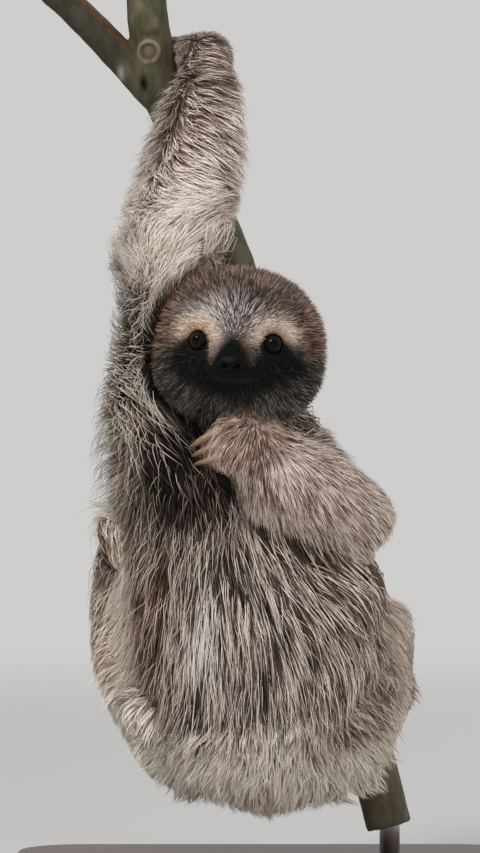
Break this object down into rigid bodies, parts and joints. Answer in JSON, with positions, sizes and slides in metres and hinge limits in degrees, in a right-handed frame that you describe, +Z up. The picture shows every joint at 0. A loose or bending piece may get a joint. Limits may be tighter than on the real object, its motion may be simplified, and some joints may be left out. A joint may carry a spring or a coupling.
{
  "type": "three-toed sloth model",
  "caption": "Life-size still model of a young three-toed sloth hanging by one arm from a forked stem, its other arm folded on its chest, on a flat stand.",
  "frame": {"origin": "centre of the underside of the stand's base", "axes": "+Z up, the animal's chest and face look along -Y, and its left side is towards +X"},
  "size_m": [0.3, 0.25, 0.5286],
  "materials": {
    "coat": "shaggy grey-brown fur",
    "eye": "wet dark brown",
    "nose": "moist, finely pebbled",
    "claw": "horn, satin",
    "bark": "smooth olive-grey bark",
    "base_wood": "satin varnish",
    "rod_steel": "brushed"
  },
  "bodies": {
    "root": {"claw_foot_left_1": "claw", "claw_foot_left_2": "claw", "claw_foot_left_3": "claw", "claw_foot_right_1": "claw", "claw_foot_right_2": "claw", "claw_foot_right_3": "claw", "claw_hand_left_1": "claw", "claw_hand_left_2": "claw", "claw_hand_left_3": "claw", "claw_hand_right_1": "claw", "claw_hand_right_2": "claw", "claw_hand_right_3": "claw", "eye_left": "eye", "eye_right": "eye", "foot_left": "coat", "foot_right": "coat", "forearm_left": "coat", "forearm_right": "coat", "hand_left": "coat", "hand_right": "coat", "head": "coat", "neck": "coat", "nose": "nose", "perch_branch": "bark", "perch_stem": "bark", "shin_left": "coat", "shin_right": "coat", "stand_base": "base_wood", "stand_rod": "rod_steel", "tail": "coat", "thigh_left": "coat", "thigh_right": "coat", "torso_belly": "coat", "torso_chest": "coat", "torso_rump": "coat", "upper_arm_left": "coat", "upper_arm_right": "coat"}
  },
  "joints": []
}
